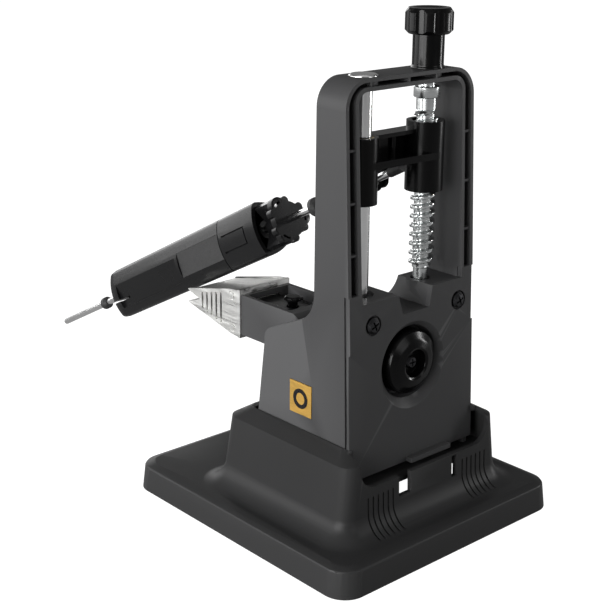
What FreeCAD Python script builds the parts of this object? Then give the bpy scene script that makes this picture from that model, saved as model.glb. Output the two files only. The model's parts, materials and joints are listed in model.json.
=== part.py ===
"""Guided rod knife sharpener, built from named parts.

Millimetres. +Z is up, the front (clamp and rod) faces -Y, and the origin is on the floor
under the middle of the base.
"""
import FreeCAD, Part
import os
import math

V = FreeCAD.Vector

# ---- driving dimensions -------------------------------------------------
BASE_HALF_X = 70.0
BASE_HALF_Y = 75.5
BASE_FLOOR_GAP = 0.6
PLATE_WALL_Z = 12.0
PLATE_TOP_Z = 14.0
WALL = 2.4
FOOT_X, FOOT_Y, FOOT_R, FOOT_Z = 58.0, 63.0, 6.0, 1.8
FOOT_AT = [(0, 0)] + [(x, y) for x in (-FOOT_X, FOOT_X) for y in (-FOOT_Y, FOOT_Y)]

PED_TOP_Z = 47.5
PED_BEVEL_Z = 52.0
SKIRT_R, SKIRT_STEPS = 10.0, 16
PED_FLOOR_Z = 32.0
GROOVE_FIRST_X = (21.2, -24.6)
GROOVE_PITCH = 3.1
GROOVES_PER_SIDE = 6

TOWER_TOP_Z = 210.0
TOWER_BOTTOM_Z = PED_FLOOR_Z
COVER_TOP_Z = 120.0
SHELF_Z = 115.4
CHANNEL_Z = 106.0
WINDOW_HALF_X = 31.4
WINDOW_TOP_Z = 204.7
FRAME_FRONT_Y = 22.3
RIM_WALL = 1.8
RIB_Z = (137.5, 159.5, 181.5)

GUIDE_X, GUIDE_Y, GUIDE_R = 20.8, 31.0, 4.0
SCREW_X, SCREW_Y = -17.9, 31.0
GUIDE_FOOT_Z = 108.0
COVER_SCREW_AT = [(24.6, 105.0), (-29.7, 105.2)]
COVER_SCREW_END_Y = 35.6
BADGE_X = 39.67
THREAD_CREST_R, THREAD_CORE_R, THREAD_PITCH = 5.7, 3.95, 4.2
KNOB_TOP_Z, KNOB_R = 235.4, 10.4
SLEEVE_R, SLEEVE_Z = 7.0, (155.8, 184.4)
BOSS_R, BOSS_Z = 8.5, (156.4, 187.4)
NUT_R = 7.2
SHELF_LIP_Z = (171.1, 174.2)

CLAMP_Z = 82.3
SPINDLE_R = 6.0
HUB_R = 15.0
JAW_REAR_Y = -57.2
JAW_TIP_Y = -99.5
JAW_HALF_X = 16.3
SHEET = 1.5
PIN_Y, PIN_DZ, PIN_R = -63.5, 8.4, 1.85
JAW_SCREW_Y = -36.0
ARM_REAR_Y = -13.6

PIVOT_Y, PIVOT_Z = 16.0, 159.7
ROD_TILT = 26.95
ROD_R = 1.75
ROD_TIP_Y, ROD_TAIL_Y = -296.8, 18.6
BALL_R = 3.6
RUN = 0.05


# ---- helpers -------------------------------------------------------------
def box(x0, x1, y0, y1, z0, z1):
    return Part.makeBox(x1 - x0, y1 - y0, z1 - z0, V(x0, y0, z0))


def cyl(radius, start, end):
    """Cylinder between two points."""
    a, b = V(*start), V(*end)
    return Part.makeCylinder(radius, (b - a).Length, a, b - a)


def rounded_wire(x0, x1, y0, y1, r, z):
    """Rounded rectangle at height z, always in the same corner order."""
    k = r * (1 - math.sqrt(0.5))
    corners = [
        (V(x1, y1 - r, z), V(x1 - k, y1 - k, z), V(x1 - r, y1, z)),
        (V(x0 + r, y1, z), V(x0 + k, y1 - k, z), V(x0, y1 - r, z)),
        (V(x0, y0 + r, z), V(x0 + k, y0 + k, z), V(x0 + r, y0, z)),
        (V(x1 - r, y0, z), V(x1 - k, y0 + k, z), V(x1, y0 + r, z)),
    ]
    edges = []
    for i, (start, middle, end) in enumerate(corners):
        edges.append(Part.Arc(start, middle, end).toShape())
        edges.append(Part.LineSegment(end, corners[(i + 1) % 4][0]).toShape())
    return Part.Wire(edges)


def loft(sections):
    """Straight-sided solid through rounded rectangles (x0, x1, y0, y1, r, z)."""
    return Part.makeLoft([rounded_wire(*s) for s in sections], True, True)


def prism(points, along, length):
    """Closed polygon swept along a vector; a 3-item point list entry is an arc (via, end)."""
    edges = []
    here = points[0]
    for item in points[1:] + [points[0]]:
        if isinstance(item, tuple):
            via, end = item
            edges.append(Part.Arc(here, via, end).toShape())
            here = end
        else:
            if (item - here).Length > 1e-6:
                edges.append(Part.LineSegment(here, item).toShape())
            here = item
    face = Part.Face(Part.Wire(edges))
    return face.extrude(along * length)


def revolve_z(profile, x, y):
    """Solid of revolution about a vertical axis from (radius, z) points."""
    pts = [V(x + r, y, z) for r, z in profile]
    face = Part.Face(Part.makePolygon(pts + [pts[0]]))
    return face.revolve(V(x, y, 0), V(0, 0, 1), 360)


def revolve_y(profile, x, z):
    """Solid of revolution about a front-to-back axis from (radius, y) points."""
    pts = [V(x + r, y, z) for r, y in profile]
    face = Part.Face(Part.makePolygon(pts + [pts[0]]))
    return face.revolve(V(x, 0, z), V(0, 1, 0), 360)


def fuse(first, *others):
    out = first
    for shape in others:
        out = out.fuse(shape)
    merged = out.copy().removeSplitter()
    return merged if merged.isValid() else out


def cut(first, *others):
    out = first
    for shape in others:
        out = out.cut(shape)
    return out


def mirror_clamp(shape):
    """Mirror across the horizontal plane through the clamp axis."""
    return shape.mirror(V(0, 0, CLAMP_Z), V(0, 0, 1))


def on_rod(shape):
    """Move a shape drawn along +Y about the origin onto the tilted rod, s = -Y from the pivot."""
    moved = shape.copy()
    moved.rotate(V(0, 0, 0), V(1, 0, 0), ROD_TILT)
    moved.translate(V(0, PIVOT_Y, PIVOT_Z))
    return moved


def outward(shape):
    """The same solid with its faces pointing out."""
    if shape.Volume < 0:
        shape.reverse()
    return shape


def export(name, *shapes):
    solids = []
    for shape in shapes:
        solids.extend(shape.Solids)
    out = solids[0] if len(solids) == 1 else Part.makeCompound(solids)
    out.exportStep("parts/" + name + ".step")
    print(name, len(solids), round(sum(s.Volume for s in solids)), all(s.isValid() for s in solids))


# ---- base ----------------------------------------------------------------
def pedestal_section(offset, z):
    """Outline of the pedestal wall at height z, grown by offset; it leans in as it rises."""
    lean = (PED_TOP_Z - z) * 0.1
    half = 48.2 + lean + offset
    front = -28.4 - lean - offset
    back = 55.0 + 0.4 * lean + offset
    return (-half, half, front, back, 7.0 + offset, z)


def base_outer(shrink):
    """Outside of the base moulding; shrink moves every face inwards."""
    def plate_section(inset, corner, z):
        x, y = BASE_HALF_X - inset, BASE_HALF_Y - inset
        return (-x, x, -y, y, corner, z)

    plate = loft([
        plate_section(shrink, 11 - shrink, BASE_FLOOR_GAP),
        plate_section(1.0 + shrink, 11 - shrink, PLATE_WALL_Z - 0.5 * shrink),
        plate_section(1.6 + shrink, 10.4 - shrink, 12.8 - shrink),
        plate_section(5.2, 8, PLATE_TOP_Z - shrink),
    ])
    skirt_sections = []
    for i in range(SKIRT_STEPS + 1):
        a = math.radians(90.0 * i / SKIRT_STEPS)
        out = SKIRT_R * (1 - math.sin(a))
        z = PLATE_TOP_Z + SKIRT_R * (1 - math.cos(a)) - shrink
        skirt_sections.append(pedestal_section(out - shrink, z))
    under = [pedestal_section(SKIRT_R - shrink, PLATE_TOP_Z - 4)]
    top = [pedestal_section(-shrink, PED_TOP_Z - 0.5 * shrink)]
    pedestal = loft(under + skirt_sections + top)
    bevel = loft([
        pedestal_section(-shrink, PED_TOP_Z - 0.5 * shrink),
        (-40.8, 40.8, -21.6, 47.4, 5, PED_BEVEL_Z - shrink),
    ])
    return fuse(plate, pedestal, bevel)


def base_shell():
    outer = base_outer(0.0)
    plate_hollow = loft([
        (-67.4, 67.4, -72.9, 72.9, 9, -1.0),
        (-66.4, 66.4, -71.9, 71.9, 9, PLATE_WALL_Z - 0.4),
    ])
    ped_hollow = loft([
        pedestal_section(-WALL, PLATE_WALL_Z - 1.0),
        pedestal_section(-WALL, PED_TOP_Z - 0.8),
        (-39.0, 39.0, -19.6, 45.4, 4, PED_BEVEL_Z - 2.0),
    ])
    shell = cut(outer, plate_hollow, ped_hollow)
    # inside floor that the tower stands on
    floor_section = pedestal_section(-WALL + 0.4, PED_FLOOR_Z)
    floor = loft([
        floor_section[:5] + (PED_FLOOR_Z - 2.5,),
        floor_section[:5] + (PED_FLOOR_Z,),
    ])
    floor = cut(floor, box(-24, 24, 50.5, 62, 20, 40))
    shell = fuse(shell, floor)
    # opening in the top that the tower passes through
    shell = cut(shell, loft([
        (-40.3, 40.3, -17.8, 47.2, 2.0, PED_FLOOR_Z + 1.0),
        (-40.3, 40.3, -17.8, 47.2, 2.0, PED_BEVEL_Z + 2.0),
    ]))
    # scoop in the back wall
    scoop_r = 9.0
    k = scoop_r * (1 - math.sqrt(0.5))
    left, right, low = -42.4, 41.0, 35.8
    scoop = prism([
        V(left, 47.2, 60), V(left, 47.2, low + scoop_r),
        (V(left + k, 47.2, low + k), V(left + scoop_r, 47.2, low)),
        V(right - scoop_r, 47.2, low),
        (V(right - k, 47.2, low + k), V(right, 47.2, low + scoop_r)),
        V(right, 47.2, 60),
    ], V(0, 1, 0), 20)
    slots = [box(9.7, 17.5, 50.6, 66, 26.0, 40), box(-20.5, -17.2, 50.6, 66, 24.5, 35)]
    shell = cut(shell, scoop, *slots)
    # flow grooves down the back wall and out along the skirt
    inner = base_outer(0.7)
    for first in GROOVE_FIRST_X:
        for i in range(GROOVES_PER_SIDE):
            x = first + math.copysign(GROOVE_PITCH * i, first)
            strip = box(x - 0.45, x + 0.45, 48, 66.5, 14.2, 31.4)
            shell = cut(shell, strip.common(outer).cut(inner))
    # posts with pockets for the feet; the middle one reaches up to the inside floor
    for x, y in FOOT_AT:
        post_top = PED_FLOOR_Z - 1.0 if (x, y) == (0, 0) else PLATE_WALL_Z + 0.4
        shell = fuse(shell, cyl(FOOT_R + 1.6, (x, y, BASE_FLOOR_GAP), (x, y, post_top)))
        shell = cut(shell, cyl(FOOT_R, (x, y, 0), (x, y, FOOT_Z)))
    return shell


def rubber_feet():
    return [
        revolve_z([(0, 0), (FOOT_R - 0.8, 0), (FOOT_R - 0.1, 0.5), (FOOT_R - 0.1, FOOT_Z), (0, FOOT_Z)], x, y)
        for x, y in FOOT_AT
    ]


# ---- tower ---------------------------------------------------------------
def side_profile(inset_front, inset_back, bottom, top):
    """Side outline of the tower in the YZ plane, swept across the width."""
    f, b = inset_front, inset_back
    pts = [
        V(-60, -17.3 + f, bottom),
        V(-60, -10.6 + f, 87.0),
        (V(-60, -9.9 + f, 91.4 - 0.5 * f), V(-60, -7.4 + f, 93.9 - f)),
        V(-60, 13.6 + f, 103.2 - f),
        (V(-60, 20.0 + f, 108.6 - f), V(-60, FRAME_FRONT_Y + f, 117.0)),
        V(-60, FRAME_FRONT_Y + f, top),
        V(-60, 39.2 - b, top),
        V(-60, 43.6 - b, COVER_TOP_Z),
        V(-60, 46.9 - b, bottom),
    ]
    return prism(pts, V(1, 0, 0), 120)


def front_profile(inset, bottom, top, corner):
    """Front outline of the tower in the XZ plane, swept front to back."""
    r = corner
    k = r * (1 - math.sqrt(0.5))
    half_low, half_mid, half_top = 39.9 - inset, 39.3 - inset, 38.9 - inset
    pts = [
        V(half_low, -40, bottom),
        V(half_mid, -40, COVER_TOP_Z),
        V(half_top, -40, top - r),
        (V(half_top - k, -40, top - k), V(half_top - r, -40, top)),
        V(-half_top + r, -40, top),
        (V(-half_top + k, -40, top - k), V(-half_top, -40, top - r)),
        V(-half_mid, -40, COVER_TOP_Z),
        V(-half_low, -40, bottom),
    ]
    return prism(pts, V(0, 1, 0), 120)


def window(inset, bottom, corner):
    """Window through the upper frame; inset grows it into the walls around it."""
    half, top, r = WINDOW_HALF_X + inset, WINDOW_TOP_Z + inset, corner
    k = r * (1 - math.sqrt(0.5))
    pts = [
        V(half, -40, bottom),
        V(half, -40, top - r),
        (V(half - k, -40, top - k), V(half - r, -40, top)),
        V(-half + r, -40, top),
        (V(-half + k, -40, top - k), V(-half, -40, top - r)),
        V(-half, -40, bottom),
    ]
    return prism(pts, V(0, 1, 0), 120)


def tower_outer():
    return side_profile(0, 0, TOWER_BOTTOM_Z, TOWER_TOP_Z).common(
        front_profile(0, TOWER_BOTTOM_Z, TOWER_TOP_Z, 12.0))


def channel_cut(grow, floor_z):
    """Groove across the shelf under the rod; grow adds the wall around it."""
    pts = [
        V(-12.6 - grow, 8, 140), V(-12.6 - grow, 8, SHELF_Z), V(-10.4 - grow, 8, floor_z),
        V(6.2 + grow, 8, floor_z), V(9.3 + grow, 8, SHELF_Z), V(9.3 + grow, 8, 140),
    ]
    return prism(pts, V(0, 1, 0), 60)


def tower_front_housing():
    body = tower_outer()
    body = cut(body, window(0, SHELF_Z, 5.0).common(box(-60, 60, 14.5, 60, SHELF_Z, 300)))
    # open channel behind the frame's outer wall, closed at the front
    rim = front_profile(RIM_WALL, TOWER_BOTTOM_Z, TOWER_TOP_Z - 1.6, 10.4)
    rim = cut(rim, window(RIM_WALL, SHELF_Z - 3, 6.4))
    groove = rim.common(box(-60, 60, FRAME_FRONT_Y + 2.0, 60, SHELF_Z, 300))
    body = cut(body, groove)
    # thin ribs across that channel
    ribs = [box(-38.5, 38.5, 24, 43.0 - 0.05 * (z - COVER_TOP_Z), z - 0.5, z + 0.5) for z in RIB_Z]
    ribs = [cut(r, box(-32, 32, 20, 50, 100, 200)) for r in ribs]
    ribs += [box(x - 0.5, x + 0.5, 24, 39.0, 204.6, 209.5) for x in (-15.2, 1.5, 24.0)]
    ribs += [cyl(6.2, (x, 31.0, 205), (x, 31.0, 209.6)) for x in (GUIDE_X, SCREW_X)]
    for rib in ribs:
        body = fuse(body, rib.common(tower_outer()))
    # hollow below the shelf, open at the bottom and at the back
    hollow = side_profile(WALL, -5.0, TOWER_BOTTOM_Z - 5, 200.0)
    hollow = hollow.common(front_profile(WALL, TOWER_BOTTOM_Z - 5, 300, 1.0))
    hollow = cut(hollow, box(-60, 60, FRAME_FRONT_Y + 0.1, 60, SHELF_Z - 2.2, 400),
                 channel_cut(1.8, CHANNEL_Z - 2.0))
    hollow = hollow.common(box(-60, 60, -40, 60, TOWER_BOTTOM_Z - 5, SHELF_Z - 2.2))
    body = cut(body, hollow)
    # the back cover fills the last slice up to its top edge
    back = cut(side_profile(0, -3, TOWER_BOTTOM_Z - 1, COVER_TOP_Z),
               side_profile(0, 2.5, TOWER_BOTTOM_Z - 2, COVER_TOP_Z + 20))
    body = cut(body, back.common(box(-60, 60, 30, 60, TOWER_BOTTOM_Z - 1, COVER_TOP_Z)))
    # groove across the shelf under the rod
    body = cut(body, channel_cut(0, CHANNEL_Z))
    # shaft bearing across the hollow
    bearing = cyl(9.0, (0, -12, CLAMP_Z), (0, 30, CLAMP_Z)).common(tower_outer())
    web = box(-1.2, 1.2, -10, 30, 50, CLAMP_Z).common(tower_outer())
    body = fuse(body, bearing, web)
    body = cut(body, cyl(SPINDLE_R + RUN, (0, -30, CLAMP_Z), (0, 45, CLAMP_Z)))
    # bosses for the cover screws, seats for the rod and the lead screw
    for x, z in COVER_SCREW_AT:
        boss = cyl(4.2, (x, 22, z), (x, 41.0, z))
        wall = box(x - 4.2, x + 4.2, 16.0, 30.0, z - 1, z + 1)
        boss = fuse(boss, wall).common(tower_outer())
        body = fuse(body, boss)
    seat = revolve_z([(0, 104), (7.0, 104), (7.0, SHELF_Z), (0, SHELF_Z)], GUIDE_X, GUIDE_Y)
    foot = revolve_z([(0, 106), (6.5, 106), (6.5, SHELF_Z), (0, SHELF_Z)], SCREW_X, SCREW_Y)
    body = fuse(body, seat, foot.common(box(-60, -10.4, 0, 60, 100, 120)))
    body = cut(body,
               cyl(GUIDE_R, (GUIDE_X, GUIDE_Y, GUIDE_FOOT_Z), (GUIDE_X, GUIDE_Y, 230)),
               cyl(6.6, (GUIDE_X, GUIDE_Y, SHELF_Z - 1.4), (GUIDE_X, GUIDE_Y, SHELF_Z + 1)),
               cyl(6.4, (GUIDE_X, GUIDE_Y, TOWER_TOP_Z - 0.8), (GUIDE_X, GUIDE_Y, 230)),
               cyl(4.6, (SCREW_X, SCREW_Y, 107.5), (SCREW_X, SCREW_Y, 130)),
               cyl(3.6 + RUN, (SCREW_X, SCREW_Y, 200), (SCREW_X, SCREW_Y, 230)))
    for x, z in COVER_SCREW_AT:
        body = cut(body, cyl(1.55, (x, COVER_SCREW_END_Y - 0.2, z), (x, 60, z)))
    # shallow seat for the badge
    body = cut(body, badge_shape(0.35, 3.0, 0.15))
    return body


def tower_rear_cover():
    slab = cut(side_profile(0, 0, TOWER_BOTTOM_Z + 4, COVER_TOP_Z),
               side_profile(0, 2.5, TOWER_BOTTOM_Z, COVER_TOP_Z + 20))
    slab = slab.common(box(-60, 60, 30, 60, TOWER_BOTTOM_Z + 4, COVER_TOP_Z))
    slab = slab.common(front_profile(0.0, TOWER_BOTTOM_Z, 300, 1.0))
    # stepped top edge and the notch over the channel
    slab = cut(slab, box(-31.9, 31.0, 30, 60, SHELF_Z, 130), channel_cut(0, CHANNEL_Z))
    # shadow line along the sides
    for side in (-1, 1):
        edge = side * 38.6
        line = box(min(edge, edge + side * 3), max(edge, edge + side * 3), 40, 44.6, 30, 125)
        slab = cut(slab, line)
    # dished seat for the hub
    dish = revolve_y([(0, 36.0), (13.0, 36.0), (16.2, 37.2), (17.0, 42.4), (19.0, 44.2),
                      (21.6, 46.4), (21.6, 50), (0, 50)], 0, CLAMP_Z)
    cup = revolve_y([(0, 33.8), (15.0, 33.8), (18.6, 35.6), (18.9, 43.4), (0, 43.4)], 0, CLAMP_Z)
    slab = cut(fuse(slab, cup), dish)
    slab = cut(slab, cyl(SPINDLE_R + RUN, (0, 25, CLAMP_Z), (0, 45, CLAMP_Z)))
    for x, z in COVER_SCREW_AT:
        slab = cut(slab, cyl(4.6, (x, 42.9, z), (x, 60, z)), cyl(1.7, (x, 30, z), (x, 60, z)))
    # inward curve at the foot of the cover, with the latch ledge behind it
    slab = cut(slab, box(-60, 60, 30, 60, 20, TOWER_BOTTOM_Z + 4.2))
    ledge = box(-22.0, 4.0, 42.6, 50.2, TOWER_BOTTOM_Z + 4.2, TOWER_BOTTOM_Z + 6.4)
    return fuse(slab, ledge)


def cover_screws():
    out = []
    for x, z in COVER_SCREW_AT:
        head = revolve_y([(0, 42.95), (3.6, 42.95), (3.6, 44.3), (2.6, 45.3), (0, 45.6)], x, z)
        shank = cyl(1.5, (x, COVER_SCREW_END_Y, z), (x, 43.2, z))
        cross = fuse(box(x - 2.3, x + 2.3, 44.2, 47, z - 0.4, z + 0.4),
                     box(x - 0.4, x + 0.4, 44.2, 47, z - 2.3, z + 2.3))
        screw = cut(fuse(head, shank), cross)
        screw.rotate(V(x, 0, z), V(0, 1, 0), 25)
        out.append(screw)
    return out


def badge_shape(depth, height, grow):
    """Upright rectangular plate on the +X side of the tower."""
    low = BADGE_X - depth
    y, z, half_y, half_z = 14.6, 66.2, 7.15 + grow, 7.6 + grow
    return box(low, low + height, y - half_y, y + half_y, z - half_z, z + half_z)


def badge():
    """Plate with a plain raised ring on it."""
    plate = badge_shape(0.30, 0.55, 0.0)
    ring = cyl(4.6, (BADGE_X, 14.6, 66.2), (BADGE_X + 0.4, 14.6, 66.2))
    ring = cut(ring, cyl(2.9, (BADGE_X - 1, 14.6, 66.2), (BADGE_X + 2, 14.6, 66.2)))
    return fuse(plate, ring)


# ---- lifting gear --------------------------------------------------------
def guide_rod():
    rod = cyl(GUIDE_R, (GUIDE_X, GUIDE_Y, GUIDE_FOOT_Z), (GUIDE_X, GUIDE_Y, 209.2))
    head = revolve_z([(0, 209.2), (6.2, 209.2), (6.2, 210.2), (5.2, 210.9), (0, 211.2)], GUIDE_X, GUIDE_Y)
    return fuse(rod, head)


def screw_foot_bush():
    return revolve_z([(2.9, 107.5), (4.6, 107.5), (4.6, 113.4), (2.9, 113.4)], SCREW_X, SCREW_Y)


def lead_screw():
    profile = [(0, 107.6), (2.85, 107.6), (2.85, 113.4), (3.4, 113.9), (3.4, 120.2)]
    z = 120.6
    while z + THREAD_PITCH < 192.5:
        profile += [
            (THREAD_CORE_R, z), (THREAD_CORE_R, z + 1.5), (THREAD_CREST_R, z + 2.3),
            (THREAD_CREST_R, z + 3.4), (THREAD_CORE_R, z + THREAD_PITCH),
        ]
        z += THREAD_PITCH
    profile += [(4.45, z + 0.3), (4.45, 197.4), (5.75, 197.4), (5.75, 202.2), (3.6, 202.2), (3.6, 222), (0, 222)]
    clean = [profile[0]]
    for point in profile[1:]:
        if point != clean[-1]:
            clean.append(point)
    return revolve_z(clean, SCREW_X, SCREW_Y)


def adjusting_knob():
    head = revolve_z([(0, 224.4), (8.8, 224.4), (KNOB_R, 226.0), (KNOB_R, 233.4), (9.0, KNOB_TOP_Z),
                      (7.4, KNOB_TOP_Z), (5.8, 234.8), (0, 234.6)], SCREW_X, SCREW_Y)
    for i in range(8):
        a = math.radians(22.5 + 45 * i)
        x = SCREW_X + (KNOB_R + 3.4) * math.cos(a)
        y = SCREW_Y + (KNOB_R + 3.4) * math.sin(a)
        head = cut(head, cyl(4.4, (x, y, 220), (x, y, 240)))
    stem = revolve_z([(0, 210.15), (7.4, 210.15), (6.9, 211.4), (6.9, 225), (0, 225)], SCREW_X, SCREW_Y)
    knob = fuse(head, stem)
    return cut(knob, cyl(3.6, (SCREW_X, SCREW_Y, 205), (SCREW_X, SCREW_Y, 222)))


def tangent_plate(grow, z0, z1):
    """Plate whose outline wraps the sleeve and the boss, between two heights."""
    boss_r, sleeve_r = BOSS_R + grow, SLEEVE_R + grow
    span = GUIDE_X - SCREW_X
    a = math.acos((boss_r - sleeve_r) / span)
    points = []
    for side in (1, -1):
        for x, r in ((SCREW_X, boss_r), (GUIDE_X, sleeve_r))[::side]:
            points.append(V(x + r * math.cos(a), GUIDE_Y + side * r * math.sin(a), z0))
    middle = prism(points, V(0, 0, 1), z1 - z0)
    ends = [cyl(boss_r, (SCREW_X, SCREW_Y, z0), (SCREW_X, SCREW_Y, z1)),
            cyl(sleeve_r, (GUIDE_X, GUIDE_Y, z0), (GUIDE_X, GUIDE_Y, z1))]
    return fuse(outward(middle), *ends)


def carriage():
    sleeve = cyl(SLEEVE_R, (GUIDE_X, GUIDE_Y, SLEEVE_Z[0]), (GUIDE_X, GUIDE_Y, SLEEVE_Z[1]))
    boss = cyl(BOSS_R, (SCREW_X, SCREW_Y, BOSS_Z[0]), (SCREW_X, SCREW_Y, BOSS_Z[1]))
    # shelf with a lip along its edge, relieved underneath for the rod's tail
    low, high = SHELF_LIP_Z
    shelf = cut(tangent_plate(0, low, high), tangent_plate(-1.3, low - 1, high - 1.5))
    web = box(SCREW_X, GUIDE_X, 24.4, 27.2, low, 184.4)
    lid = box(SCREW_X, 13.4, 24.4, 33.0, 182.6, 184.4)
    rib = cyl(1.6, (-1.2, 27.6, high - 0.5), (-1.2, 27.6, 183.0))
    lug = box(-6.0, 6.0, PIVOT_Y, 25.0, 171.6, 178.0)
    nose = cyl(6.0, (0, PIVOT_Y, 171.6), (0, PIVOT_Y, 178.0))
    body = fuse(sleeve, boss, shelf, web, lid, rib, lug, nose)
    return cut(body,
               cyl(GUIDE_R + 1.2, (GUIDE_X, GUIDE_Y, 150), (GUIDE_X, GUIDE_Y, 190)),
               cyl(NUT_R, (SCREW_X, SCREW_Y, BOSS_Z[0] + 2.0), (SCREW_X, SCREW_Y, BOSS_Z[1] - 2.0)),
               cyl(THREAD_CREST_R + 0.5, (SCREW_X, SCREW_Y, 150), (SCREW_X, SCREW_Y, 190)),
               cyl(2.0 + RUN, (0, PIVOT_Y, 165), (0, PIVOT_Y, 185)))


def guide_bush():
    top = SLEEVE_Z[1] - 0.4
    tube = cyl(GUIDE_R + 1.2, (GUIDE_X, GUIDE_Y, SLEEVE_Z[0]), (GUIDE_X, GUIDE_Y, top))
    return cut(tube, cyl(GUIDE_R + RUN, (GUIDE_X, GUIDE_Y, 150), (GUIDE_X, GUIDE_Y, 190)))


def drive_nut():
    tube = cyl(NUT_R, (SCREW_X, SCREW_Y, BOSS_Z[0] + 2.0), (SCREW_X, SCREW_Y, BOSS_Z[1] - 2.0))
    return cut(tube, cyl(THREAD_CREST_R + RUN, (SCREW_X, SCREW_Y, 150), (SCREW_X, SCREW_Y, 190)))


# ---- pivot ---------------------------------------------------------------
def swivel_yoke():
    """Fork hanging under the carriage on an upright pin."""
    reach = 3.8
    plate = cyl(7.4, (0, PIVOT_Y, 168.2), (0, PIVOT_Y, 171.5))
    plate = plate.common(box(-7.4, 7.4, PIVOT_Y - reach, PIVOT_Y + reach, 160, 180))
    pin = cyl(2.0, (0, PIVOT_Y, 170.0), (0, PIVOT_Y, 178.2))
    cap = revolve_z([(0, 178.1), (3.2, 178.1), (3.2, 179.0), (2.0, 179.8), (0, 179.8)], 0, PIVOT_Y)
    body = fuse(plate, pin, cap)
    for side in (-1, 1):
        inner, outer = side * 5.7, side * 7.4
        low, high = min(inner, outer), max(inner, outer)
        cheek = box(low, high, PIVOT_Y - reach, PIVOT_Y + reach, PIVOT_Z, 169.0)
        toe = cyl(reach, (low, PIVOT_Y, PIVOT_Z), (high, PIVOT_Y, PIVOT_Z))
        body = fuse(body, cheek, toe)
    return cut(body, cyl(1.4 + RUN, (-9, PIVOT_Y, PIVOT_Z), (9, PIVOT_Y, PIVOT_Z)))


def pivot_ring():
    ring = cyl(5.2, (0, -1.9, 0), (0, 1.9, 0))
    ring = fuse(ring, cyl(1.4, (-7.3, 0, 0), (7.3, 0, 0)))
    ring = cut(ring, Part.makeSphere(BALL_R + RUN))
    return on_rod(ring)


def pivot_ball():
    ball = cut(Part.makeSphere(BALL_R), cyl(ROD_R + RUN, (0, -6, 0), (0, 6, 0)))
    return on_rod(ball)


# ---- rod and handle ------------------------------------------------------
def sharpening_rod():
    rod = cyl(ROD_R, (0, ROD_TIP_Y, 0), (0, ROD_TAIL_Y, 0))
    tips = [Part.makeSphere(ROD_R, V(0, y, 0)) for y in (ROD_TIP_Y, ROD_TAIL_Y)]
    return on_rod(fuse(rod, *tips))


def rod_tail_sleeve():
    """Rubber cap on the rod's tail that stops it pulling out forwards."""
    front, rear = 12.8, 21.5
    sleeve = revolve_y([(0, front), (1.9, front), (2.2, front + 0.5), (2.2, rear - 0.3), (1.9, rear), (0, rear)], 0, 0)
    rod_end = fuse(cyl(ROD_R, (0, 0, 0), (0, ROD_TAIL_Y, 0)), Part.makeSphere(ROD_R, V(0, ROD_TAIL_Y, 0)))
    return on_rod(cut(sleeve, rod_end))


def rod_rings():
    """Stop rings: a bead in front of the handle and a wider one ahead of the pivot."""
    out = []
    for s, radius, half in ((244.9, 3.5, 2.6), (40.3, 4.5, 2.2)):
        pts = [(ROD_R, -half), (radius - 1.2, -half), (radius, -half + 1.2),
               (radius, half - 1.2), (radius - 1.2, half), (ROD_R, half)]
        out.append(on_rod(revolve_y([(r, y - s) for r, y in pts], 0, 0)))
    return out


HANDLE_ARC_R = 27.4
HANDLE_CORNER_R = 3.2
HANDLE_REAR_S, HANDLE_FRONT_S = 75.4, 220.0
CAP_REAR_S = 61.0
PLATE_REAR_S, PLATE_FRONT_S = 106.5, 146.0
PLATE_FACE, PLATE_BACK = -10.6, -9.0
ARM_ANGLES = (60, 180, 300)
FACE_TURNS = (30, 150, 270)


def handle_outline(scale, y):
    """Outline of the three-sided handle: three bulged faces and three tight corners."""
    face_r = HANDLE_ARC_R * scale
    corner_r = HANDLE_CORNER_R * scale
    reach = face_r / math.sqrt(3)
    gap = face_r - corner_r
    corner_at = (-reach + math.sqrt(4 * gap ** 2 - 3 * reach ** 2)) / 2
    corners = []
    for angle in ARM_ANGLES:
        a = math.radians(angle)
        centre = V(corner_at * math.cos(a), 0, corner_at * math.sin(a))
        ends = []
        for other in (angle + 120, angle - 120):
            o = math.radians(other)
            focus = V(reach * math.cos(o), 0, reach * math.sin(o))
            ends.append(centre + (centre - focus).normalize() * corner_r)
        tip = centre + V(math.cos(a), 0, math.sin(a)) * corner_r
        corners.append((ends[0], tip, ends[1]))
    edges = []
    for i, (start, tip, end) in enumerate(corners):
        following = corners[(i + 1) % 3]
        middle = math.radians(ARM_ANGLES[i] + 60)
        face_mid = V(math.cos(middle), 0, math.sin(middle)) * (face_r - reach)
        edges.append(Part.Arc(start, tip, end).toShape())
        edges.append(Part.Arc(end, face_mid, following[0]).toShape())
    wire = Part.Wire(edges)
    wire.translate(V(0, y, 0))
    return wire


def handle_bar(*sections):
    """Solid through handle outlines given as (scale, distance behind the front end)."""
    wires = [handle_outline(scale, y) for scale, y in sections]
    return outward(Part.makeLoft(wires, True, True))


def face_block(turn, half_x, s_front, s_rear, low, high):
    """Block across one face of the handle, low to high along the face's inward normal."""
    block = box(-half_x, half_x, -s_front, -s_rear, low, high)
    block.rotate(V(0, 0, 0), V(0, 1, 0), turn)
    return block


def collar_latch(turn):
    """U-shaped slot around the spring tongue in one face of the collar."""
    y_low, y_high, wall = -103.4, -83.5, 0.8
    outer = box(-4.6, 4.6, y_low, y_high, -20, -9.9)
    inner = box(-4.6 + wall, 4.6 - wall, y_low - 1, y_high - wall, -21, -9)
    slot = cut(outer, inner)
    slot.rotate(V(0, 0, 0), V(0, 1, 0), turn)
    return slot


def finger_facet(turn):
    """Flat for a fingertip, leaning so that one long edge is crisp and the other is a step."""
    facet = box(-8.6, 9.0, -212.0, -148.5, -20, -10.3)
    facet.rotate(V(0, 0, -10.3), V(0, 1, 0), 10)
    facet.rotate(V(0, 0, 0), V(0, 1, 0), turn)
    return facet


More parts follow.
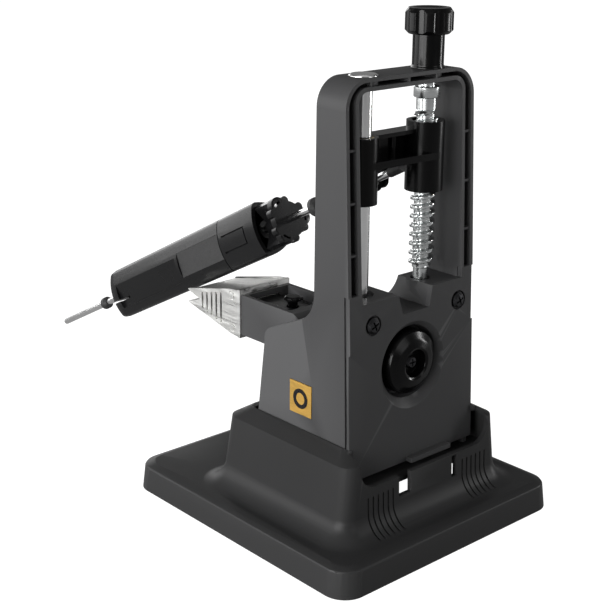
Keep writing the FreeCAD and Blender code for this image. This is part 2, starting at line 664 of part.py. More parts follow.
def handle_body():
    y0, y1 = -HANDLE_FRONT_S, -HANDLE_REAR_S
    body = handle_bar((0.88, y0), (0.96, y0 + 1.5), (1.0, y0 + 6.0), (1.0, y1))
    # open rear end around the rod's core
    pocket = cut(handle_bar((0.82, y1 - 22), (0.82, y1 + 1)), cyl(4.6, (0, -120, 0), (0, -80, 0)))
    # shallow seam between the collar and the plates
    seam_y = -PLATE_REAR_S + 0.1
    seam = cut(handle_bar((1.2, seam_y), (1.2, seam_y + 0.6)), handle_bar((0.965, seam_y - 1), (0.965, seam_y + 2)))
    body = cut(body, pocket, seam)
    for turn in FACE_TURNS:
        seat = face_block(turn, 6.6, PLATE_FRONT_S, PLATE_REAR_S, -20, PLATE_BACK)
        body = cut(body, finger_facet(turn), seat, collar_latch(turn))
    # slot at the front end that lets it spring around the rod
    body = cut(body, box(0, 20, y0 - 1, y0 + 17, -4.4, -3.2))
    return on_rod(cut(body, cyl(ROD_R + RUN, (0, -300, 0), (0, 0, 0))))


def abrasive_plate(turn):
    return on_rod(face_block(turn, 6.6, PLATE_FRONT_S, PLATE_REAR_S, PLATE_FACE, PLATE_BACK))


def handle_end_cap():
    """Three-armed spider with lugs that closes the handle's open rear end."""
    rear = -CAP_REAR_S
    hub = cyl(4.0, (0, -HANDLE_REAR_S, 0), (0, rear, 0))
    disc = cyl(9.0, (0, rear - 3.4, 0), (0, rear, 0))
    cap = fuse(hub, disc)
    for angle in ARM_ANGLES:
        arm = box(-1.5, 1.5, -HANDLE_REAR_S + 0.1, rear - 1.0, 3.0, 12.4)
        lug = cyl(4.4, (0, rear - 3.4, 8.4), (0, rear, 8.4))
        ears = [cyl(2.2, (x, rear - 3.4, 7.8), (x, rear, 7.8)) for x in (-5.0, 5.0)]
        arm = fuse(arm, lug, *ears)
        arm = cut(arm, box(-2.2, 2.2, rear - 5, rear + 1, 8.9, 10.2))
        arm.rotate(V(0, 0, 0), V(0, 1, 0), 90 - angle)
        cap = fuse(cap, arm)
    return on_rod(cut(cap, cyl(ROD_R + RUN, (0, -300, 0), (0, 0, 0))))


# ---- clamp ---------------------------------------------------------------
def clamp_spindle():
    shaft = cyl(SPINDLE_R, (0, -30, CLAMP_Z), (0, 36.6, CLAMP_Z))
    return cut(shaft, cyl(1.5, (0, 24, CLAMP_Z), (0, 40, CLAMP_Z)))


def spindle_hub():
    cap = revolve_y([(0, 36.6), (14.4, 36.6), (HUB_R, 37.8), (HUB_R, 43.0), (14.2, 44.8), (11.0, 46.6),
                     (7.6, 47.4), (6.3, 46.9), (6.3, 42.6), (0, 42.6)], 0, CLAMP_Z)
    return cut(cap, cyl(1.7, (0, 30, CLAMP_Z), (0, 50, CLAMP_Z)))


def hub_screw():
    head = revolve_y([(0, 42.65), (3.0, 42.65), (3.0, 44.0), (2.2, 44.9), (0, 45.1)], 0, CLAMP_Z)
    shank = cyl(1.45, (0, 26, CLAMP_Z), (0, 42.8, CLAMP_Z))
    cross = fuse(box(-1.9, 1.9, 44.0, 46, CLAMP_Z - 0.35, CLAMP_Z + 0.35),
                 box(-0.35, 0.35, 44.0, 46, CLAMP_Z - 1.9, CLAMP_Z + 1.9))
    return cut(fuse(head, shank), cross)


def clamp_arm():
    """Box-shaped arm, open above and below a middle web, rounded where it meets the tower."""
    half_x, low, high = 15.4, CLAMP_Z - 10.7, CLAMP_Z + 10.1
    block = prism([
        V(-half_x, -57.0, low), V(-half_x, -57.0, high), V(-half_x, -19.0, high),
        (V(-half_x, -15.2, high - 1.6), V(-half_x, ARM_REAR_Y, high - 5.4)),
        V(-half_x, ARM_REAR_Y, low + 5.4),
        (V(-half_x, -15.2, low + 1.6), V(-half_x, -19.0, low)),
    ], V(1, 0, 0), 2 * half_x)
    pocket = box(-13.2, 13.2, -54.6, -23.0, CLAMP_Z - 7.4, 100)
    arm = cut(block, pocket, box(-9.0, 9.0, -52.0, -31.0, 60, 80))
    # thin ribs across the pocket, notched for the jaw tails
    for y, top in ((-44.0, 88.5), (-30.8, 90.0)):
        rib = box(-13.4, 13.4, y - 0.6, y + 0.6, CLAMP_Z - 7.6, top)
        arm = fuse(arm, cut(rib, box(-8.6, 8.6, y - 2, y + 2, 70, 95)))
    for x in (-10.8, 10.8):
        arm = fuse(arm, box(x - 0.5, x + 0.5, -54.8, -22.8, CLAMP_Z - 7.6, 87.5))
    # opening at the front that the jaw tails pass through
    arm = cut(arm, box(-8.4, 8.4, -60, -54, 74.6, 89.4))
    return cut(arm, cyl(SPINDLE_R, (0, -40, CLAMP_Z), (0, -10, CLAMP_Z)))


def cheek_outline(x):
    """Side plate of the jaws, mirrored about the clamp axis, with the V mouth."""
    up = [(JAW_REAR_Y, 12.4), (-64.6, 11.6), (-98.7, 3.8), (JAW_TIP_Y, 3.2), (-89.5, 0.0)]
    pts = [V(x, y, CLAMP_Z + dz) for y, dz in up]
    pts += [V(x, y, CLAMP_Z - dz) for y, dz in reversed(up[:-1])]
    return pts


def jaw_frame():
    """Sheet-metal cheeks, joined behind by a plate that bears on the arm."""
    cheeks = []
    for x in (-JAW_HALF_X, JAW_HALF_X - SHEET):
        cheek = prism(cheek_outline(x), V(1, 0, 0), SHEET)
        for i in range(5):
            y = -87.3 + 3.8 * i
            reach = 4.3 + 0.92 * i
            slot = box(-30, 30, y - 0.7, y + 0.7, CLAMP_Z - reach, CLAMP_Z + reach)
            cheek = cut(cheek, slot)
        cheeks.append(cheek)
    back = box(-JAW_HALF_X, JAW_HALF_X, JAW_REAR_Y - SHEET, JAW_REAR_Y + 0.15, CLAMP_Z - 12.5, CLAMP_Z + 12.5)
    back = cut(back, box(-8.4, 8.4, -62, -55, CLAMP_Z - 11.2, CLAMP_Z + 11.2))
    frame = fuse(cheeks[0], cheeks[1], back)
    for z in (CLAMP_Z - PIN_DZ, CLAMP_Z + PIN_DZ):
        frame = cut(frame, cyl(PIN_R, (-30, PIN_Y, z), (30, PIN_Y, z)))
        for x in (-JAW_HALF_X, JAW_HALF_X):
            frame = cut(frame, cyl(PIN_R + 0.4, (x - 0.5, PIN_Y, z), (x + 0.5, PIN_Y, z)))
    return frame


def jaw_pins():
    pins = []
    for side in (-1, 1):
        z = CLAMP_Z + side * PIN_DZ
        pins.append(cyl(PIN_R, (-JAW_HALF_X - 0.25, PIN_Y, z), (JAW_HALF_X + 0.25, PIN_Y, z)))
    return pins


def upper_jaw():
    """Lever: lip plate in front of its pin, narrow tail behind it."""
    x = JAW_HALF_X - SHEET - 0.25
    plate = prism([
        V(-x, -59.2, CLAMP_Z + 11.2), V(-x, -65.0, CLAMP_Z + 10.6), V(-x, -98.4, CLAMP_Z + 3.2),
        V(-x, -98.8, CLAMP_Z + 2.9), V(-x, -90.0, CLAMP_Z + 0.35), V(-x, -88.0, CLAMP_Z + 2.2),
        V(-x, -66.6, CLAMP_Z + 7.6), V(-x, -66.0, CLAMP_Z + 5.6), V(-x, -59.2, CLAMP_Z + 5.6),
    ], V(1, 0, 0), 2 * x)
    tail = box(-7.6, 7.6, -61.5, -31.6, CLAMP_Z + 3.6, CLAMP_Z + 6.1)
    neck = box(-7.6, 7.6, -66.0, -60.0, CLAMP_Z + 3.6, CLAMP_Z + 7.0)
    jaw = fuse(plate, tail, neck)
    return cut(jaw, cyl(PIN_R + RUN, (-30, PIN_Y, CLAMP_Z + PIN_DZ), (30, PIN_Y, CLAMP_Z + PIN_DZ)),
               cyl(3.2, (0, JAW_SCREW_Y, 60), (0, JAW_SCREW_Y, 100)))


def jaw_screw():
    shank = cyl(2.5, (0, JAW_SCREW_Y, 70), (0, JAW_SCREW_Y, 92.0))
    cap = revolve_z([(0, 91.8), (4.2, 91.8), (4.2, 93.0), (3.2, 93.8), (0, 93.8)], 0, JAW_SCREW_Y)
    wheel = revolve_z([(0, 65.0), (7.2, 65.0), (8.0, 65.8), (8.0, 70.2), (7.2, 71.0), (0, 71.0)],
                      0, JAW_SCREW_Y)
    for i in range(16):
        a = math.radians(22.5 * i)
        x = 8.6 * math.cos(a)
        y = JAW_SCREW_Y + 8.6 * math.sin(a)
        wheel = cut(wheel, cyl(1.0, (x, y, 60), (x, y, 75)))
    return fuse(shank, cap, wheel)


# ---- write every part -----------------------------------------------------
os.makedirs("parts", exist_ok=True)
export("base_shell", base_shell())
export("rubber_feet", *rubber_feet())
export("tower_front_housing", tower_front_housing())
export("tower_rear_cover", tower_rear_cover())
export("cover_screws", *cover_screws())
export("badge", badge())
export("guide_rod", guide_rod())
export("screw_foot_bush", screw_foot_bush())
export("lead_screw", lead_screw())
export("adjusting_knob", adjusting_knob())
export("carriage", carriage())
export("guide_bush", guide_bush())
export("drive_nut", drive_nut())
export("swivel_yoke", swivel_yoke())
export("pivot_ring", pivot_ring())
export("pivot_ball", pivot_ball())
export("sharpening_rod", sharpening_rod())
export("rod_tail_sleeve", rod_tail_sleeve())
export("rod_rings", *rod_rings())
export("handle_body", handle_body())
export("handle_end_cap", handle_end_cap())
for grit, face_turn in zip(("coarse", "fine", "ceramic"), FACE_TURNS):
    export(grit + "_plate", abrasive_plate(face_turn))
export("clamp_spindle", clamp_spindle())
export("spindle_hub", spindle_hub())
export("hub_screw", hub_screw())
export("clamp_arm", clamp_arm())
export("jaw_frame", jaw_frame())
export("jaw_pins", *jaw_pins())
export("upper_jaw", upper_jaw())
export("lower_jaw", mirror_clamp(upper_jaw()))
export("jaw_screw", jaw_screw())
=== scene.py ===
"""Looks of the guided rod knife sharpener: materials, thread, trim, light and camera."""
import json
import math

import bmesh
import bpy
from mathutils import Matrix, Vector


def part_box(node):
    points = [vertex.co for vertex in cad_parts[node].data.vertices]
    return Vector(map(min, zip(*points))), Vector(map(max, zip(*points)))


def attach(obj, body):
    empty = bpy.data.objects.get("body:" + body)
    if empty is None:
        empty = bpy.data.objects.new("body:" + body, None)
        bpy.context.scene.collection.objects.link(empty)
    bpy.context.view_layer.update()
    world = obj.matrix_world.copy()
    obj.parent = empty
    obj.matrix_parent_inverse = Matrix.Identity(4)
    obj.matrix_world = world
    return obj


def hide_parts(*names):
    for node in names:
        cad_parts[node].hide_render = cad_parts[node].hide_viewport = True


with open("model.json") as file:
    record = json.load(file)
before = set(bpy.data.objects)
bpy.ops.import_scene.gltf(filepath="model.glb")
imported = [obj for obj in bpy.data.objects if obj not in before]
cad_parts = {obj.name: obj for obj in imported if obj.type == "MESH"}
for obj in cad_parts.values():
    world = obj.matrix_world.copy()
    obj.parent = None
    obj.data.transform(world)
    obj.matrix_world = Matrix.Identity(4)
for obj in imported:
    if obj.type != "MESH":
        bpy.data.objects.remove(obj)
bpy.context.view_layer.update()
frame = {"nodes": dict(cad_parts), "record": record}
nodes = frame["nodes"]

# ---- driving values, metres ------------------------------------------------
THREAD_PITCH = 0.0042
THREAD_CREST = 0.00565
THREAD_ROOT = 0.00395
THREAD_LOW, THREAD_HIGH = 0.1206, 0.1919
THREAD_RUN_OUT = 0.002
# where one turn of the thread leaves the root, reaches the crest and leaves it again
THREAD_RISE, THREAD_CREST_START, THREAD_CREST_END = 0.36, 0.55, 0.81
THREAD_ROWS, SCREW_SIDES = 260, 64
JOURNAL_R, SHOULDER_R = 0.00285, 0.0034
JOURNAL_TOP, SHOULDER_LOW, SHOULDER_TOP = 0.1134, 0.1139, 0.1203
# neck, collar and top stem of the lead screw: height and radius
SCREW_TOP = (
    (0.1921, 0.00445), (0.1970, 0.00445), (0.19735, 0.0048), (0.1974, 0.0055), (0.1977, 0.00575),
    (0.2018, 0.00575), (0.2022, 0.0054), (0.2022, 0.0036),
)
STEM_R = 0.0036
MARK_INNER_R, MARK_OUTER_R = 0.0028, 0.0047
MARK_SUNK, MARK_PROUD = -0.0003, 0.00004
MARK_SIDES = 48
EDGE_ROUND = {
    "base_shell": 0.0006, "tower_front_housing": 0.0005, "tower_rear_cover": 0.0004,
    "clamp_arm": 0.0004, "carriage": 0.0004, "adjusting_knob": 0.0005, "spindle_hub": 0.0003,
    "badge": 0.00015, "swivel_yoke": 0.0003, "handle_end_cap": 0.0003, "handle_body": 0.0003,
    "guide_rod": 0.0003, "jaw_screw": 0.0003,
}
ROUNDED_ANGLE = math.radians(38)
SEAM_GAP = 0.000008
SHARP_ANGLE, BEND_ANGLE = math.radians(34), math.radians(2.2)
TRIM_SHARP_ANGLE = math.radians(40)
FLAT_FACE_WEIGHT = 95
FLOOR_HALF = 30.0
FLOOR_COLOR = (0.25, 0.25, 0.25)
FLOOR_GLOW_SEEN, FLOOR_GLOW_REFLECTED = 1.0, 0.12
WORLD_GLOW = 0.2
# name, place, aim, width and height, watts
LIGHTS = (
    ("key", (1.45, 0.05, 0.24), (0.0, 0.0, 0.12), (1.5, 1.0), 52.0),
    ("top", (0.1, 0.0, 1.3), (0.0, 0.0, 0.0), (1.2, 1.2), 1.2),
    ("back", (-0.25, 1.3, 0.45), (0.0, 0.0, 0.12), (0.6, 0.5), 1.8),
    ("strip", (-0.95, 0.55, 0.3), (0.0, 0.0, 0.15), (0.10, 0.7), 5.0),
    ("side_panel", (0.9, -1.15, 0.3), (0.0, 0.0, 0.1), (1.0, 0.9), 8.5),
    ("rod_panel", (-0.15, -1.35, 0.36), (0.0, -0.1, 0.1), (1.3, 0.45), 6.0),
)
# painted shade: the jaws are blackened behind this plane, where they sit in the arm's shaded pocket, over
# the fade's length
JAW_TAIL_Y, JAW_TAIL_FADE = -0.0568, 0.0004
CAMERA_AT = (0.3909, 0.4064, 0.2843)
CAMERA_AIM = (-0.0044, -0.0407, 0.0880)
CAMERA_ROLL = math.radians(0.23)
CAMERA_LENS, CAMERA_SENSOR = 74.95, 36.0
CAMERA_SHIFT = (0.0195, -0.0034)


# ---- materials ---------------------------------------------------------------
def new_material(name, color, rough, metal=0.0, specular=0.5):
    material = bpy.data.materials.new(name)
    material.use_nodes = True
    shader = material.node_tree.nodes["Principled BSDF"]
    shader.inputs["Base Color"].default_value = (*color, 1.0)
    shader.inputs["Roughness"].default_value = rough
    shader.inputs["Metallic"].default_value = metal
    shader.inputs["Specular IOR Level"].default_value = specular
    return material, material.node_tree, shader


def object_coordinates(tree, stretch=(1.0, 1.0, 1.0)):
    """Object coordinates, stretched to draw the grain out along an axis."""
    source = tree.nodes.new("ShaderNodeTexCoord")
    mapping = tree.nodes.new("ShaderNodeMapping")
    mapping.inputs["Scale"].default_value = stretch
    tree.links.new(source.outputs["Object"], mapping.inputs["Vector"])
    return mapping.outputs["Vector"]


def noise(tree, vector, scale, detail, rough=0.55):
    """Noise texture's value; a larger scale is finer."""
    node = tree.nodes.new("ShaderNodeTexNoise")
    node.inputs["Scale"].default_value = scale
    node.inputs["Detail"].default_value = detail
    node.inputs["Roughness"].default_value = rough
    tree.links.new(vector, node.inputs["Vector"])
    return node.outputs["Fac"]


def spread(tree, value, low, high, low_at=0.3, high_at=0.7):
    """Maps a value between low_at and high_at onto low..high."""
    node = tree.nodes.new("ShaderNodeMapRange")
    node.inputs["From Min"].default_value = low_at
    node.inputs["From Max"].default_value = high_at
    node.inputs["To Min"].default_value = low
    node.inputs["To Max"].default_value = high
    tree.links.new(value, node.inputs["Value"])
    return node.outputs["Result"]


def add_bump(tree, shader, heights, strengths, distance):
    """Chains one bump node per height onto the shader's normal."""
    previous = None
    for height, strength in zip(heights, strengths):
        bump = tree.nodes.new("ShaderNodeBump")
        bump.inputs["Strength"].default_value = strength
        bump.inputs["Distance"].default_value = distance
        tree.links.new(height, bump.inputs["Height"])
        if previous is not None:
            tree.links.new(previous, bump.inputs["Normal"])
        previous = bump.outputs["Normal"]
    tree.links.new(previous, shader.inputs["Normal"])


def tint(tree, shader, value, dark, light):
    """Colours between dark and light by a 0..1 value."""
    ramp = tree.nodes.new("ShaderNodeValToRGB")
    for element, position, color in zip(ramp.color_ramp.elements, (0.35, 0.68), (dark, light)):
        element.position = position
        element.color = (*color, 1.0)
    tree.links.new(value, ramp.inputs["Fac"])
    tree.links.new(ramp.outputs["Color"], shader.inputs["Base Color"])


def paint_edge_highlight(tree, shader, base, edge_highlight_color, amount):
    """Painted highlight: slightly paler colour where the surface is convex."""
    geometry = tree.nodes.new("ShaderNodeNewGeometry")
    mask = spread(tree, geometry.outputs["Pointiness"], 0.0, amount, low_at=0.52, high_at=0.60)
    mix = tree.nodes.new("ShaderNodeMix")
    mix.data_type = "RGBA"
    mix.inputs["A"].default_value = (*base, 1.0)
    mix.inputs["B"].default_value = (*edge_highlight_color, 1.0)
    tree.links.new(mask, mix.inputs["Factor"])
    tree.links.new(mix.outputs["Result"], shader.inputs["Base Color"])


def moulded_plastic(name, color, rough, grain, specular):
    """Moulded plastic: fine leathery grain, faint flow patches and edges painted paler as a highlight."""
    material, tree, shader = new_material(name, color, rough, specular=specular)
    vector = object_coordinates(tree)
    patches = noise(tree, vector, scale=22.0, detail=4.0)
    fine = noise(tree, vector, scale=1900.0, detail=2.0, rough=0.6)
    waves = noise(tree, vector, scale=60.0, detail=2.0)
    tree.links.new(spread(tree, patches, rough - 0.05, rough + 0.07), shader.inputs["Roughness"])
    # convex edges get a painted highlight, a paler colour
    edge_highlight_color = tuple(min(1.0, 1.9 * c + 0.008) for c in color)
    paint_edge_highlight(tree, shader, color, edge_highlight_color, amount=0.7)
    add_bump(tree, shader, heights=(waves, fine), strengths=(0.05, grain), distance=0.00012)
    return material


def rubber(name):
    """Matt black rubber with a little dust on it."""
    material, tree, shader = new_material(name, (0.016, 0.016, 0.017), rough=0.6, specular=0.35)
    vector = object_coordinates(tree)
    dust = noise(tree, vector, scale=300.0, detail=4.0)
    pores = noise(tree, vector, scale=2500.0, detail=2.0)
    tint(tree, shader, dust, dark=(0.012, 0.012, 0.012), light=(0.03, 0.03, 0.031))
    add_bump(tree, shader, heights=(pores,), strengths=(0.3,), distance=0.0001)
    return material


def metal(name, color, rough, stretch, scale, grain, spots=0.0):
    """Metal with drawn or turned marks; stretch sets which way the marks run."""
    material, tree, shader = new_material(name, color, rough, metal=1.0)
    vector = object_coordinates(tree, stretch)
    marks = noise(tree, vector, scale, detail=4.0, rough=0.65)
    cloudy = noise(tree, object_coordinates(tree), scale=45.0, detail=3.0)
    tree.links.new(spread(tree, marks, rough * 0.7, rough * 1.5), shader.inputs["Roughness"])
    dim = tuple(c * (0.86 - spots) for c in color)
    tint(tree, shader, cloudy, dark=dim, light=color)
    add_bump(tree, shader, heights=(marks,), strengths=(grain,), distance=0.00005)
    return material


def blend_input(tree, socket, data_type, value, mask):
    """Blends a shader input, linked or plain, towards a value."""
    mix = tree.nodes.new("ShaderNodeMix")
    mix.data_type = data_type
    if socket.is_linked:
        tree.links.new(socket.links[0].from_socket, mix.inputs["A"])
    else:
        mix.inputs["A"].default_value = socket.default_value
    mix.inputs["B"].default_value = value
    tree.links.new(mask, mix.inputs["Factor"])
    tree.links.new(mix.outputs["Result"], socket)


def paint_jaw_tail_shade(material, tail_shade_color):
    """Painted shade: blackens a metal where the jaws' tails sit in the arm's shaded pocket."""
    tree = material.node_tree
    shader = tree.nodes["Principled BSDF"]
    parts = tree.nodes.new("ShaderNodeSeparateXYZ")
    tree.links.new(object_coordinates(tree), parts.inputs["Vector"])
    mask = spread(tree, parts.outputs["Y"], 0.0, 1.0, JAW_TAIL_Y, JAW_TAIL_Y + JAW_TAIL_FADE)
    blend_input(tree, shader.inputs["Base Color"], "RGBA", (*tail_shade_color, 1.0), mask)
    blend_input(tree, shader.inputs["Metallic"], "FLOAT", 0.0, mask)


def abrasive(name, dark, light, grit_scale, metallic):
    """Bonded grit: bright sharp specks in a darker matrix."""
    material, tree, shader = new_material(name, light, rough=0.5, metal=metallic)
    vector = object_coordinates(tree)
    grit = tree.nodes.new("ShaderNodeTexVoronoi")
    grit.inputs["Scale"].default_value = grit_scale
    tree.links.new(vector, grit.inputs["Vector"])
    distance = grit.outputs["Distance"]
    # the middle of each speck is the light end
    tint(tree, shader, distance, dark=light, light=dark)
    tree.links.new(spread(tree, distance, 0.35, 0.75, low_at=0.1, high_at=0.6), shader.inputs["Roughness"])
    add_bump(tree, shader, heights=(distance,), strengths=(0.5,), distance=0.0001)
    return material


MATERIALS = {
    "base_plastic": moulded_plastic(
        "base_plastic", (0.021, 0.021, 0.0213), rough=0.36, grain=0.16, specular=0.12),
    "body_plastic": moulded_plastic(
        "body_plastic", (0.036, 0.036, 0.0368), rough=0.42, grain=0.2, specular=0.14),
    "satin_plastic": moulded_plastic(
        "satin_plastic", (0.0015, 0.0015, 0.0016), rough=0.18, grain=0.03, specular=0.16),
    "handle_plastic": moulded_plastic(
        "handle_plastic", (0.0050, 0.0050, 0.0053), rough=0.26, grain=0.10, specular=0.22),
    "rubber": rubber("rubber"),
    "black_screw": metal(
        "black_screw", (0.05, 0.05, 0.053), rough=0.3, stretch=(1, 1, 1), scale=900.0, grain=0.1),
    "gold_badge": metal(
        "gold_badge", (0.56, 0.35, 0.09), rough=0.5, stretch=(1, 1, 14), scale=160.0, grain=0.12),
    "chrome_rod": metal(
        "chrome_rod", (0.88, 0.88, 0.88), rough=0.16, stretch=(1, 1, 0.05), scale=500.0, grain=0.05),
    "bush_brass": metal(
        "bush_brass", (0.68, 0.52, 0.25), rough=0.3, stretch=(1, 1, 20), scale=120.0, grain=0.1),
    "zinc_screw": metal(
        "zinc_screw", (0.70, 0.72, 0.72), rough=0.2, stretch=(1, 1, 12), scale=200.0, grain=0.15,
        spots=0.05),
    "jaw_steel": metal(
        "jaw_steel", (0.88, 0.88, 0.86), rough=0.34, stretch=(1, 0.08, 1), scale=500.0, grain=0.04),
    "coarse_abrasive": abrasive(
        "coarse_abrasive", dark=(0.007, 0.007, 0.0073), light=(0.025, 0.025, 0.026),
        grit_scale=2600.0, metallic=0.3),
    "fine_abrasive": abrasive(
        "fine_abrasive", dark=(0.007, 0.007, 0.0075), light=(0.02, 0.02, 0.021),
        grit_scale=4600.0, metallic=0.3),
    "ceramic_abrasive": abrasive(
        "ceramic_abrasive", dark=(0.007, 0.007, 0.0072), light=(0.016, 0.016, 0.0165),
        grit_scale=3800.0, metallic=0.0),
}
# painted shade on the jaws' steel tails inside the arm's pocket
paint_jaw_tail_shade(MATERIALS["jaw_steel"], tail_shade_color=(0.004, 0.004, 0.0042))


def paint(obj, slot):
    obj.data.materials.clear()
    obj.data.materials.append(MATERIALS[slot])


def paint_cad_nodes():
    for entry in frame["record"]["subparts"]:
        paint(nodes[entry["node"]], entry["material_slot"])


def geometry_group(name):
    """Empty geometry node group, with its input and output nodes."""
    group = bpy.data.node_groups.new(name, "GeometryNodeTree")
    for side in ("INPUT", "OUTPUT"):
        group.interface.new_socket("Geometry", in_out=side, socket_type="NodeSocketGeometry")
    return group, group.nodes.new("NodeGroupInput"), group.nodes.new("NodeGroupOutput")


def merge_nodes():
    """Node group that joins the seams between the CAD faces."""
    group, start, end = geometry_group("join_seams")
    merge = group.nodes.new("GeometryNodeMergeByDistance")
    merge.inputs["Distance"].default_value = SEAM_GAP
    group.links.new(start.outputs[0], merge.inputs["Geometry"])
    group.links.new(merge.outputs["Geometry"], end.inputs[0])
    return group


def shading_nodes():
    """Node group for smooth shading, apart from sharp edges and slight bends between flat faces."""
    group, start, end = geometry_group("smooth_by_angle")
    faces = group.nodes.new("GeometryNodeSetShadeSmooth")
    faces.inputs["Shade Smooth"].default_value = True
    edges = group.nodes.new("GeometryNodeSetShadeSmooth")
    edges.domain = "EDGE"
    edges.inputs["Shade Smooth"].default_value = False
    angle = group.nodes.new("GeometryNodeInputMeshEdgeAngle")
    # an edge is part of a curve if its angle is between the two limits
    curved = group.nodes.new("FunctionNodeCompare")
    curved.data_type = "FLOAT"
    curved.operation = "EQUAL"
    curved.inputs["B"].default_value = (SHARP_ANGLE + BEND_ANGLE) / 2
    curved.inputs["Epsilon"].default_value = (SHARP_ANGLE - BEND_ANGLE) / 2
    kept = group.nodes.new("FunctionNodeBooleanMath")
    kept.operation = "NOT"
    group.links.new(start.outputs[0], faces.inputs["Geometry"])
    group.links.new(faces.outputs["Geometry"], edges.inputs["Geometry"])
    group.links.new(angle.outputs["Unsigned Angle"], curved.inputs["A"])
    group.links.new(curved.outputs["Result"], kept.inputs[0])
    group.links.new(kept.outputs[0], edges.inputs["Selection"])
    group.links.new(edges.outputs["Geometry"], end.inputs[0])
    return group


def round_edges():
    """Smooth shading on every CAD piece, and small radii on the moulded and turned ones."""
    join, shade = merge_nodes(), shading_nodes()
    for name, obj in nodes.items():
        obj.modifiers.new("join_seams", "NODES").node_group = join
        if name in EDGE_ROUND:
            bevel = obj.modifiers.new("edge_round", "BEVEL")
            bevel.width = EDGE_ROUND[name]
            bevel.segments = 2
            bevel.limit_method = "ANGLE"
            bevel.angle_limit = ROUNDED_ANGLE
            bevel.use_clamp_overlap = True
            bevel.face_strength_mode = "FSTR_ALL"
        obj.modifiers.new("smooth_by_angle", "NODES").node_group = shade
        flat = obj.modifiers.new("flat_faces_stay_flat", "WEIGHTED_NORMAL")
        flat.keep_sharp = True
        flat.weight = FLAT_FACE_WEIGHT
        flat.use_face_influence = True


# ---- pieces ---------------------------------------------------------------------
def mesh_object(name, vertices, faces, slot, body):
    """Visible piece that rides on a body, in a material slot."""
    mesh = bpy.data.meshes.new(name)
    mesh.from_pydata(vertices, [], faces)
    mesh.update()
    obj = bpy.data.objects.new(name, mesh)
    bpy.context.scene.collection.objects.link(obj)
    paint(obj, slot)
    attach(obj, body)
    return obj


def smooth(obj):
    """Smooth shading with sharp edges kept."""
    mesh = obj.data
    bm = bmesh.new()
    bm.from_mesh(mesh)
    bmesh.ops.recalc_face_normals(bm, faces=bm.faces)
    for face in bm.faces:
        face.smooth = True
    for edge in bm.edges:
        if len(edge.link_faces) == 2 and edge.calc_face_angle() > TRIM_SHARP_ANGLE:
            edge.smooth = False
    bm.to_mesh(mesh)
    bm.free()


def thread_radius(phase, fade):
    """Rounded trapezoid thread: flat root, sloped flanks, flat crest; fade shrinks it to the root."""
    if phase < THREAD_RISE:
        share = 0.0
    elif phase < THREAD_CREST_START:
        share = (phase - THREAD_RISE) / (THREAD_CREST_START - THREAD_RISE)
    elif phase < THREAD_CREST_END:
        share = 1.0
    else:
        share = 1.0 - (phase - THREAD_CREST_END) / (1.0 - THREAD_CREST_END)
    share = share * share * (3 - 2 * share)
    return THREAD_ROOT + (THREAD_CREST - THREAD_ROOT) * share * fade


def screw_profile(z, angle):
    """Radius of the lead screw's thread at a height and angle."""
    phase = ((z - THREAD_LOW) / THREAD_PITCH - angle / (2 * math.pi)) % 1.0
    fade = max(0.0, min(1.0, (z - THREAD_LOW) / THREAD_RUN_OUT, (THREAD_HIGH - z) / THREAD_RUN_OUT))
    return thread_radius(phase, fade)


def screw_rings(bottom, top):
    """Heights and radii of the lead screw from bottom to top; a radius of None is thread."""
    journal = [(bottom, JOURNAL_R), (JOURNAL_TOP, JOURNAL_R)]
    shoulder = [(SHOULDER_LOW, SHOULDER_R), (SHOULDER_TOP, SHOULDER_R)]
    length = THREAD_HIGH - THREAD_LOW
    thread = [(THREAD_LOW + length * i / THREAD_ROWS, None) for i in range(THREAD_ROWS + 1)]
    return journal + shoulder + thread + list(SCREW_TOP) + [(top, STEM_R)]


def lead_screw():
    """Helical lead screw with journal, neck and collar, in place of the ringed one."""
    low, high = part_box("lead_screw")
    axis = Vector(((low.x + high.x) / 2, (low.y + high.y) / 2, 0.0))
    rings = screw_rings(low.z, high.z)
    vertices = []
    for z, radius in rings:
        for k in range(SCREW_SIDES):
            angle = 2 * math.pi * k / SCREW_SIDES
            r = radius if radius is not None else screw_profile(z, angle)
            vertices.append((axis.x + r * math.cos(angle), axis.y + r * math.sin(angle), z))
    faces = []
    for j in range(len(rings) - 1):
        lower, upper = j * SCREW_SIDES, (j + 1) * SCREW_SIDES
        for k in range(SCREW_SIDES):
            k2 = (k + 1) % SCREW_SIDES
            faces.append((lower + k, lower + k2, upper + k2, upper + k))
    faces.append(tuple(reversed(range(SCREW_SIDES))))
    last = (len(rings) - 1) * SCREW_SIDES
    faces.append(tuple(last + k for k in range(SCREW_SIDES)))
    screw = mesh_object("lead_screw_helix", vertices, faces, "zinc_screw", "screw")
    smooth(screw)
    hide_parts("lead_screw")


def badge_mark():
    """Plain dark ring printed on the badge."""
    low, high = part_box("badge")
    y, z, x = (low.y + high.y) / 2, (low.z + high.z) / 2, high.x
    vertices, faces = [], []
    for depth in (MARK_SUNK, MARK_PROUD):
        for radius in (MARK_INNER_R, MARK_OUTER_R):
            for k in range(MARK_SIDES):
                a = 2 * math.pi * k / MARK_SIDES
                vertices.append((x + depth, y + radius * math.cos(a), z + radius * math.sin(a)))
    for k in range(MARK_SIDES):
        n = (k + 1) % MARK_SIDES
        ring = [(i * MARK_SIDES + k, i * MARK_SIDES + n) for i in range(4)]
        for i, j in ((0, 1), (1, 3), (3, 2), (2, 0)):
            faces.append((ring[i][0], ring[i][1], ring[j][1], ring[j][0]))
    mark = mesh_object("badge_mark", vertices, faces, "black_screw", "base")
    smooth(mark)


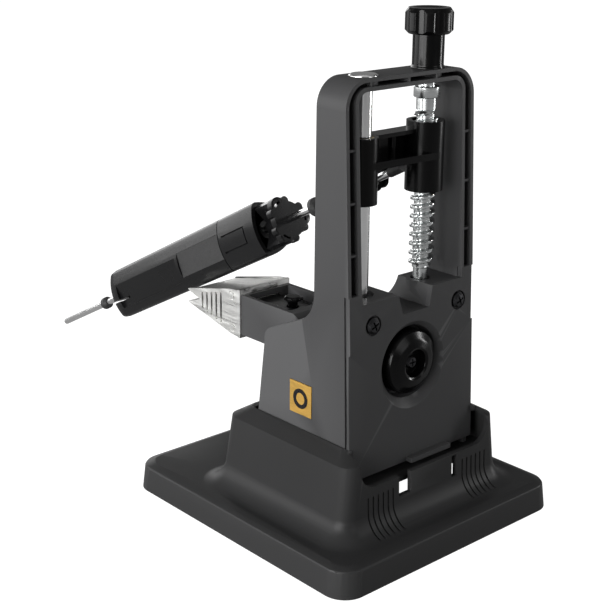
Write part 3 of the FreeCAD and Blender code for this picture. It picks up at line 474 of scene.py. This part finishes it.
# ---- stage ------------------------------------------------------------------------
def floor():
    mesh = bpy.data.meshes.new("floor")
    corners = [(FLOOR_HALF * x, FLOOR_HALF * y, 0) for x, y in ((-1, -1), (1, -1), (1, 1), (-1, 1))]
    mesh.from_pydata(corners, [], [(0, 1, 2, 3)])
    obj = bpy.data.objects.new("floor", mesh)
    bpy.context.scene.collection.objects.link(obj)
    material, tree, shader = new_material("pale_floor", FLOOR_COLOR, rough=0.9, specular=0.0)
    shader.inputs["Emission Color"].default_value = (1.0, 1.0, 1.0, 1.0)
    # a lit white sweep to the eye, but a dim one in the object's reflections
    path = tree.nodes.new("ShaderNodeLightPath")
    seen = path.outputs["Is Camera Ray"]
    glow = spread(tree, seen, FLOOR_GLOW_REFLECTED, FLOOR_GLOW_SEEN, low_at=0.0, high_at=1.0)
    tree.links.new(glow, shader.inputs["Emission Strength"])
    obj.data.materials.append(material)


def area_light(name, at, aim, size, watts):
    light = bpy.data.lights.new(name, "AREA")
    light.shape = "RECTANGLE"
    light.size, light.size_y = size
    light.energy = watts
    obj = bpy.data.objects.new(name, light)
    obj.location = at
    obj.rotation_euler = (Vector(aim) - Vector(at)).to_track_quat("-Z", "Y").to_euler()
    bpy.context.scene.collection.objects.link(obj)


def lights():
    world = bpy.data.worlds.new("studio")
    bpy.context.scene.world = world
    world.use_nodes = True
    background = world.node_tree.nodes["Background"]
    background.inputs["Color"].default_value = (1.0, 1.0, 1.0, 1.0)
    background.inputs["Strength"].default_value = WORLD_GLOW
    bpy.context.scene.view_settings.view_transform = "Standard"
    for name, at, aim, size, watts in LIGHTS:
        area_light(name, at, aim, size, watts)


def camera():
    data = bpy.data.cameras.new("camera")
    data.lens = CAMERA_LENS
    data.sensor_width = CAMERA_SENSOR
    data.shift_x, data.shift_y = CAMERA_SHIFT
    data.clip_start = 0.01
    obj = bpy.data.objects.new("camera", data)
    bpy.context.scene.collection.objects.link(obj)
    aim = (Vector(CAMERA_AIM) - Vector(CAMERA_AT)).to_track_quat("-Z", "Y").to_matrix().to_4x4()
    obj.matrix_world = Matrix.Translation(CAMERA_AT) @ aim @ Matrix.Rotation(CAMERA_ROLL, 4, "Z")
    bpy.context.scene.camera = obj


paint_cad_nodes()
round_edges()
lead_screw()
badge_mark()
floor()
lights()
camera()
